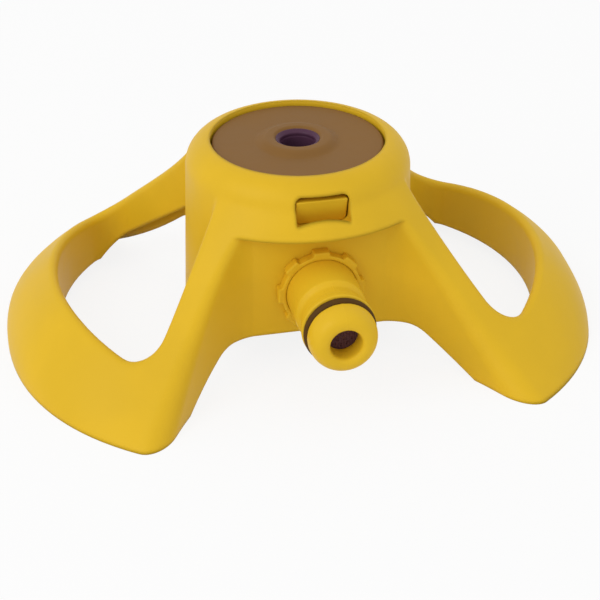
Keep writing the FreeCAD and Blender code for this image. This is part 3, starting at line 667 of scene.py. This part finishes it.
@dataclass
class HosePlug:
    """The inlet: plug, seals, lock ring, strainer and the water way behind it.

    Attributes:
        front: Length of the plug's rebuilt front, from its tip.
        nose_radius: The rounded nose at its widest.
        collar_radius: The land behind the seal.
        mouth_radius: The bore at the nose's tip.
        strainer_radius: The bore round the strainer.
        seal_at: The seal's middle, from the tip.
        seal_section: Radius of the seal's section.
        seal_proud: How far the seal stands out of the nose.
        groove_depth: The seal's groove, from the nose's widest edge.
        shoulder: Straight edge between the groove and the nose's curve.
        lip_round: Rounding between the nose and its mouth.
        mouth_depth: Where the mouth steps out to the strainer.
        tab_tip: The lock ring's tabs end at this radius.
        softening: Rounding of the plug's edges.
        ring_softening: Rounding of the lock ring's edges.
        gauze_pitch: Distance between the gauze's wires.
        gauze_wire: Radius of a wire.
        gauze_inset: Play between the gauze and the strainer's rim.
        tip: The middle of the nose's tip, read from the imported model.
    """

    front: float = 8.6 * MM
    nose_radius: float = 7.55 * MM
    collar_radius: float = 8.10 * MM
    mouth_radius: float = 3.45 * MM
    strainer_radius: float = 4.0 * MM
    seal_at: float = 6.30 * MM
    seal_section: float = 0.98 * MM
    seal_proud: float = 0.42 * MM
    groove_depth: float = 1.7 * MM
    shoulder: float = 0.8 * MM
    lip_round: float = 0.95 * MM
    mouth_depth: float = 5.0 * MM
    tab_tip: float = 9.9 * MM
    softening: Softening = Softening(grid=0.30 * MM, passes=3)
    ring_softening: Softening = Softening(grid=0.22 * MM, passes=4)
    gauze_pitch: float = 0.34 * MM
    gauze_wire: float = 0.08 * MM
    gauze_inset: float = 0.15 * MM
    tip: Vector = field(init=False)

    def build(self) -> None:
        """Build the plug's visible pieces and dress the water way."""
        low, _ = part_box("inlet_body")
        face_low, face_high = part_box("inlet_filter")
        self.tip = Vector((0.0, low.y, (face_low.z + face_high.z) / 2))
        self.add_plug()
        self.add_seal()
        self.add_lock_ring()
        dress("riser_seal", NITRILE)
        dress("inlet_filter", STRAINER_PLASTIC)
        dress("elbow_plug", CAP_PLASTIC)
        self.add_gauze()

    def nose_outline(self) -> list[tuple[float, float]]:
        """Half section of the plug's front, from the land behind the seal round the nose.

        Returns:
            Closed (radius, distance from the tip) points.
        """
        nose, mouth, collar = self.nose_radius, self.mouth_radius, self.collar_radius
        floor = self.seal_at - self.seal_section
        wall = self.seal_at + self.seal_section
        root = nose - self.groove_depth
        # The land with its edges rounded over, then the seal's groove.
        outline = [(collar - 0.20 * MM, self.front), (collar, self.front - 0.5 * MM),
                   (collar, wall + 0.30 * MM), (collar - 0.10 * MM, wall + 0.08 * MM),
                   (collar - 0.35 * MM, wall)]
        outline += [(root, wall), (root, floor),
                    (nose - 0.25 * MM, floor), (nose - 0.05 * MM, floor - 0.2 * MM)]
        # The nose, fuller than an ellipse, and the lip that turns in to the mouth.
        lip = mouth + self.lip_round
        curve = floor - self.shoulder
        for angle in quarter_turn(10):
            outline.append((lip + (nose - lip) * math.cos(angle) ** 0.80,
                            curve * (1 - math.sin(angle) ** 0.95)))
        for angle in quarter_turn(5)[1:]:
            outline.append((lip - (lip - mouth) * math.sin(angle),
                            self.lip_round * (1 - math.cos(angle))))
        outline += [(mouth, self.mouth_depth), (self.strainer_radius, self.mouth_depth + 0.12 * MM),
                    (self.strainer_radius, self.front)]
        return outline

    def add_plug(self) -> None:
        """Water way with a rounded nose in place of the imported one."""
        bm = merged_copy("inlet_body")
        cut = self.tip + Vector((0.0, self.front - 0.3 * MM, 0.0))
        parts = bm.verts[:] + bm.edges[:] + bm.faces[:]
        bmesh.ops.bisect_plane(bm, geom=parts, plane_co=cut, plane_no=(0, -1, 0), clear_outer=True)
        bmesh.ops.bridge_loops(bm, edges=[edge for edge in bm.edges if edge.is_boundary])
        lathe(bm, self.nose_outline(), self.tip, Axis.ALONG_Y)
        piece = self.softening.apply(as_object(bm, "plug_raw"), "inlet_body_moulding")
        stand_in(piece, "inlet_body", PLUG_PLASTIC, Body.BASE)

    def add_seal(self) -> None:
        """Round O-ring between the nose and the land behind it."""
        bm = bmesh.new()
        section = self.seal_section
        middle = self.nose_radius + self.seal_proud - section
        steps = 20
        circle = []
        for i in range(steps):
            angle = FULL_TURN * i / steps
            circle.append((middle + section * math.cos(angle),
                           self.seal_at + section * math.sin(angle)))
        lathe(bm, circle, self.tip, Axis.ALONG_Y)
        piece = as_object(bm, "inlet_o_ring_round")
        stand_in(piece, "inlet_o_ring", NITRILE, Body.BASE)

    def add_lock_ring(self) -> None:
        """Castellated ring with worn tabs."""
        bm = merged_copy("inlet_lock_ring")
        for vert in bm.verts:
            spoke = Vector((vert.co.x, 0.0, vert.co.z - self.tip.z))
            if spoke.length > self.tab_tip:
                vert.co -= spoke * (1 - self.tab_tip / spoke.length)
        piece = self.ring_softening.apply(as_object(bm, "ring_raw"), "inlet_lock_ring_moulding")
        stand_in(piece, "inlet_lock_ring", RING_PLASTIC, Body.BASE)

    def gauze_layer(self, graph: GeometryGraph, turned: bool) -> bpy.types.NodeSocket:
        """One layer of parallel wires, each as long as the round face allows.

        Args:
            graph: The gauze's tree.
            turned: Whether the wires run along X and not along Z.

        Returns:
            The layer, round the origin.
        """
        reach, wire = graph.put("Reach"), graph.put("Wire")
        across = graph.math("MULTIPLY", reach, 2.0)
        row = graph.node("GeometryNodeMeshLine", {
            "Count": graph.math("FLOOR", graph.math("DIVIDE", across, graph.put("Pitch"))),
            "Start Location": graph.vector(graph.math("MULTIPLY", reach, -1.0)),
            "Offset": graph.vector(graph.put("Pitch"))}, mode="OFFSET", count_mode="TOTAL")
        spot = graph.node("GeometryNodeInputPosition").outputs[0]
        where = graph.node("ShaderNodeSeparateXYZ", {0: spot}).outputs[0]
        square = graph.math("SUBTRACT", graph.math("POWER", reach, 2.0),
                            graph.math("POWER", where, 2.0))
        half = graph.math("SQRT", graph.math("MAXIMUM", square, 1e-9))
        rod = graph.node("GeometryNodeMeshCylinder", {"Vertices": 6, "Radius": wire, "Depth": 2.0})
        placed = graph.node("GeometryNodeInstanceOnPoints", {
            "Points": row.outputs[0], "Instance": rod.outputs[0],
            "Scale": graph.vector(1.0, 1.0, half)})
        return graph.node("GeometryNodeTransform", {
            "Geometry": placed.outputs[0],
            "Rotation": (0.0, math.pi / 2 if turned else 0.0, 0.0),
            "Translation": graph.vector(0.0, wire if turned else 0.0, 0.0)}).outputs[0]

    def add_gauze(self) -> None:
        """Gauze in front of the strainer's perforated face."""
        low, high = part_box("inlet_filter")
        middle = (low + high) / 2
        graph = GeometryGraph("gauze", {
            "Reach": (high.x - low.x) / 2 - self.gauze_inset, "Pitch": self.gauze_pitch,
            "Wire": self.gauze_wire,
            "Centre": (middle.x, low.y - 2.2 * self.gauze_wire, middle.z)})
        join = graph.node("GeometryNodeJoinGeometry")
        for turned in (False, True):
            graph.tree.links.new(self.gauze_layer(graph, turned), join.inputs[0])
        seated = graph.node("GeometryNodeTransform", {
            "Geometry": join.outputs[0], "Translation": graph.put("Centre")})
        graph.close(seated.outputs[0], FINISHES.get(STRAINER_PLASTIC))
        piece = graph.make("strainer_gauze")
        settle(piece, Body.BASE)


@dataclass
class BearingCartridge:
    """The cartridge in the turret with its bush, screws and latches.

    Attributes:
        pad_root: The finger pad starts this far from the turret's axis.
        pad_spread: The pad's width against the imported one.
        pad_drop: How far its foot is let down.
        pad_lean: How far its foot is drawn back.
        softening: Rounding of a latch's edges.
    """

    pad_root: float = 19.4 * MM
    pad_spread: float = 1.02
    pad_drop: float = 0.32 * MM
    pad_lean: float = 0.6 * MM
    softening: Softening = Softening(grid=0.20 * MM, passes=2)

    def build(self) -> None:
        """Dress the cartridge's nodes and fit the latches' finger pads."""
        dress("bearing_carrier", CARRIER_PLASTIC)
        dress("carrier_screws", STAINLESS)
        dress("bearing_sleeve", ACETAL)
        self.add_latch("latch_front", Body.LATCH_FRONT)
        self.add_latch("latch_rear", Body.LATCH_REAR)

    def add_latch(self, node: str, body: Body) -> None:
        """Latch with a wider pad that reaches further down and back in its window.

        Args:
            node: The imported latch.
            body: The body that it swings with.
        """
        bm = merged_copy(node)
        front = [vert for vert in bm.verts if abs(vert.co.y) > self.pad_root]
        low = min(vert.co.z for vert in front)
        high = max(vert.co.z for vert in front)
        for vert in front:
            share = (vert.co.z - low) / (high - low)
            vert.co.x *= self.pad_spread
            vert.co.y -= math.copysign(self.pad_lean * (1 - share), vert.co.y)
            vert.co.z -= self.pad_drop * (1 - share)
        piece = self.softening.apply(as_object(bm, node + "_raw"), node + "_moulding")
        stand_in(piece, node, LATCH_PLASTIC, body)


@dataclass
class TurningHead:
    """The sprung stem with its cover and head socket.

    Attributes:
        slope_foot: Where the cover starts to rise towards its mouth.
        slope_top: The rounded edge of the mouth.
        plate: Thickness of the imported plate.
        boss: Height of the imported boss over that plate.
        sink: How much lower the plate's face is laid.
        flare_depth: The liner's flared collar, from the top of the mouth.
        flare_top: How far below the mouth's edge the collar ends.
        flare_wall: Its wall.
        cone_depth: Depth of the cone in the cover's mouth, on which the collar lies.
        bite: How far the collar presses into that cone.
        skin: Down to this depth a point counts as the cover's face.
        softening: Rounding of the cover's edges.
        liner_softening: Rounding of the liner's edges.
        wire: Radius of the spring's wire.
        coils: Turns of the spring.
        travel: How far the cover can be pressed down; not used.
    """

    slope_foot: float = 9.8 * MM
    slope_top: float = 7.0 * MM
    plate: float = 2.0 * MM
    boss: float = 0.6 * MM
    sink: float = 0.5 * MM
    flare_depth: float = 1.6 * MM
    flare_top: float = 0.35 * MM
    flare_wall: float = 0.28 * MM
    cone_depth: float = 0.9 * MM
    bite: float = 0.03 * MM
    skin: float = 0.4 * MM
    softening: Softening = Softening(grid=0.26 * MM, passes=3)
    liner_softening: Softening = Softening(grid=0.16 * MM, passes=2)
    wire: float = 0.34 * MM
    coils: float = 3.0
    travel: float = 1.2 * MM

    def build(self) -> None:
        """Shape the cover and its liner and dress the stem's nodes."""
        self.add_cover()
        self.add_liner()
        self.add_spring()
        dress("swivel_stem", BRASS)
        dress("spring_seat", ACETAL)
        dress("stem_washer_upper", ACETAL)
        dress("stem_washer_lower", ACETAL)
        dress("stem_washer_seal", NITRILE)

    def add_cover(self) -> None:
        """Cover with a lower plate and a boss that slopes up to the mouth."""
        _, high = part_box("swivel_disc")
        face = high.z - self.boss
        foot = face - self.plate
        raw = as_object(merged_copy("swivel_disc"), "cover_raw")
        cover = self.softening.apply(raw, "swivel_disc_moulding")
        for vert in cover.data.vertices:
            radius = math.hypot(vert.co.x, vert.co.y)
            on_top = vert.co.z > face - self.skin
            if on_top and self.slope_top < radius < self.slope_foot:
                share = (radius - self.slope_top) / (self.slope_foot - self.slope_top)
                fall = (1 - math.cos(math.pi * share)) / 2
                vert.co.z = high.z - (self.boss + self.sink) * fall
            elif radius >= self.slope_foot and vert.co.z > foot:
                vert.co.z -= self.sink * (vert.co.z - foot) / self.plate
        stand_in(cover, "swivel_disc", DISC_PLASTIC, Body.SWIVEL)

    def add_liner(self) -> None:
        """Liner with a collar that flares out over the mouth's cone."""
        low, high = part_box("socket_insert")
        _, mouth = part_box("swivel_disc")
        outer = (high.x - low.x) / 2
        inner = outer - 2.1 * self.flare_wall
        top = mouth.z - self.flare_top
        foot = mouth.z - self.flare_depth
        bend = mouth.z - self.cone_depth
        rim = outer + (top - bend)
        bm = merged_copy("socket_insert")
        lathe(bm, [(inner, foot), (inner, foot + 0.5 * MM), (inner + 0.12 * MM, bend - 0.05 * MM),
                   (rim - self.flare_wall, top), (rim + self.bite, top),
                   (outer + self.bite, bend), (outer, foot)], Vector(), Axis.ALONG_Z)
        piece = self.liner_softening.apply(as_object(bm, "liner_raw"), "socket_insert_moulding")
        stand_in(piece, "socket_insert", LINER_PLASTIC, Body.SWIVEL)

    def add_spring(self) -> None:
        """Round-wire spring in place of the imported one."""
        low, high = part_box("stem_spring")
        height = high.z - low.z
        graph = GeometryGraph("spring", {
            "Radius": (high.x - low.x) / 2 - self.wire, "Wire": self.wire, "Coils": self.coils,
            "Height": height - 2 * self.wire, "Foot": (0.0, 0.0, low.z + self.wire)})
        helix = graph.node("GeometryNodeCurveSpiral", {
            "Resolution": 48, "Rotations": graph.put("Coils"), "Start Radius": graph.put("Radius"),
            "End Radius": graph.put("Radius"), "Height": graph.put("Height")})
        section = graph.node("GeometryNodeCurvePrimitiveCircle", {
            "Resolution": 12, "Radius": graph.put("Wire")}, mode="RADIUS")
        wire = graph.node("GeometryNodeCurveToMesh", {
            "Curve": helix.outputs[0], "Profile Curve": section.outputs[0], "Fill Caps": True})
        seated = graph.node("GeometryNodeTransform", {
            "Geometry": wire.outputs[0], "Translation": graph.put("Foot")})
        graph.close(seated.outputs[0], FINISHES.get(STAINLESS))
        piece = graph.make("stem_spring_wire")
        settle(piece, Body.BASE)
        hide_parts("stem_spring")
        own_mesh(piece)


# ---- studio ----------------------------------------------------------------------------------
def seen_directly(graph: NodeGraph) -> bpy.types.NodeSocket:
    """Mask of the rays that see a surface and don't light it.

    Args:
        graph: The tree that gains the mask.

    Returns:
        1 for a camera, gloss or transmission ray.
    """
    path = graph.node("ShaderNodeLightPath").outputs
    gloss = graph.math("MAXIMUM", path["Is Glossy Ray"], path["Is Transmission Ray"])
    return graph.math("MAXIMUM", path["Is Camera Ray"], gloss)


@dataclass(frozen=True)
class SoftLamp:
    """Square soft lamp.

    Attributes:
        name: The lamp's name.
        place: Where it stands.
        size: Its edge length.
        power: Its power in watts.
    """

    name: str
    place: Point
    size: float
    power: float

    def build(self, aim: Vector) -> None:
        """Hang the lamp.

        Args:
            aim: The point that it shines at.
        """
        data = bpy.data.lights.new(self.name, "AREA")
        data.energy = self.power
        data.size = self.size
        lamp = bpy.data.objects.new(self.name, data)
        lamp.location = self.place
        lamp.rotation_euler = (aim - Vector(self.place)).to_track_quat("-Z", "Y").to_euler()
        bpy.context.collection.objects.link(lamp)


@dataclass
class Studio:
    """Floor, lamps, sky and camera.

    Attributes:
        azimuth: Camera's turn about Z, in degrees; 0 looks along +Y.
        elevation: Camera's height above the horizon, in degrees.
        distance: Camera to the aimed point.
        aim: The aimed point.
        lens: Focal length on a 36 mm sensor.
        shift: The lens shift that places the object in the frame.
        key: The stronger lamp.
        fill: The weaker lamp.
        floor_reach: Half the floor's edge.
        floor_drop: Its depth under the feet, which keeps the two apart.
        floor_grey: Its paint.
        floor_glow: Share of plain white where it is seen, which leaves a faint shadow.
        sky_light: The sky's strength as a light; where it is seen it is 1.
    """

    azimuth: float = -12.56
    elevation: float = 28.53
    distance: float = 0.400
    aim: Point = (0.0, 0.0, 0.020)
    lens: float = 103.34
    shift: tuple[float, float] = (0.0039, -0.1035)
    key: SoftLamp = SoftLamp("key", (-0.72, -0.42, 0.62), 0.60, 3.2)
    fill: SoftLamp = SoftLamp("fill", (0.70, -0.60, 0.40), 0.70, 0.25)
    floor_reach: float = 3.0
    floor_drop: float = 0.05 * MM
    floor_grey: float = 0.86
    floor_glow: float = 0.86
    sky_light: float = 0.775

    def build(self) -> None:
        """Set up everything that isn't the object."""
        bpy.context.scene.view_settings.view_transform = "Standard"
        self.add_camera()
        self.add_floor()
        self.add_sky()
        for lamp in (self.key, self.fill):
            lamp.build(Vector(self.aim))

    def add_camera(self) -> None:
        """Camera a little left of the plug, looking down on the cover."""
        turn = math.radians(self.azimuth)
        rise = math.radians(self.elevation)
        away = Vector((math.sin(turn) * math.cos(rise), -math.cos(turn) * math.cos(rise),
                       math.sin(rise)))
        data = bpy.data.cameras.new("camera")
        data.lens = self.lens
        data.sensor_width = 36.0
        data.shift_x, data.shift_y = self.shift
        data.clip_start = 0.01
        camera = bpy.data.objects.new("camera", data)
        camera.location = Vector(self.aim) + away * self.distance
        camera.rotation_euler = (-away).to_track_quat("-Z", "Y").to_euler()
        bpy.context.collection.objects.link(camera)
        bpy.context.scene.camera = camera

    def add_floor(self) -> None:
        """Plain white floor that keeps a faint shadow, and is clear from below."""
        graph = ShaderGraph("white_floor")
        grey = (self.floor_grey, self.floor_grey, self.floor_grey, 1.0)
        paint = graph.node("ShaderNodeBsdfDiffuse", {"Color": grey})
        glow = graph.node("ShaderNodeEmission", {"Color": WHITE, "Strength": 1.0})
        share = graph.math("MULTIPLY", seen_directly(graph), self.floor_glow)
        above = graph.node("ShaderNodeMixShader",
                           {0: share, 1: paint.outputs[0], 2: glow.outputs[0]})
        clear = graph.node("ShaderNodeBsdfTransparent")
        below = graph.node("ShaderNodeNewGeometry").outputs["Backfacing"]
        blend = graph.node("ShaderNodeMixShader",
                           {0: below, 1: above.outputs[0], 2: clear.outputs[0]})
        mesh = bpy.data.meshes.new("floor")
        reach = self.floor_reach
        mesh.from_pydata([(-reach, -reach, 0), (reach, -reach, 0), (reach, reach, 0),
                          (-reach, reach, 0)], [], [(0, 1, 2, 3)])
        mesh.materials.append(graph.finish(blend))
        floor = bpy.data.objects.new("floor", mesh)
        floor.location.z = -self.floor_drop
        bpy.context.collection.objects.link(floor)

    def add_sky(self) -> None:
        """Even pale sky, white where it is seen."""
        world = bpy.data.worlds.new("sky")
        world.use_nodes = True
        graph = NodeGraph(world.node_tree)
        strength = graph.node("ShaderNodeMapRange", {
            "Value": seen_directly(graph), "To Min": self.sky_light, "To Max": 1.0})
        sky = graph.node("ShaderNodeBackground", {"Color": WHITE, "Strength": strength.outputs[0]})
        graph.node("ShaderNodeOutputWorld", {"Surface": sky.outputs[0]})
        bpy.context.scene.world = world


def main() -> None:
    """Build the studio and every sub-assembly."""
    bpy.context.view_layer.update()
    Studio().build()
    for part in (MouldedBase(), HosePlug(), BearingCartridge(), TurningHead()):
        LOG.info("building %s", type(part).__name__)
        part.build()


if __name__ == "__main__":
    main()
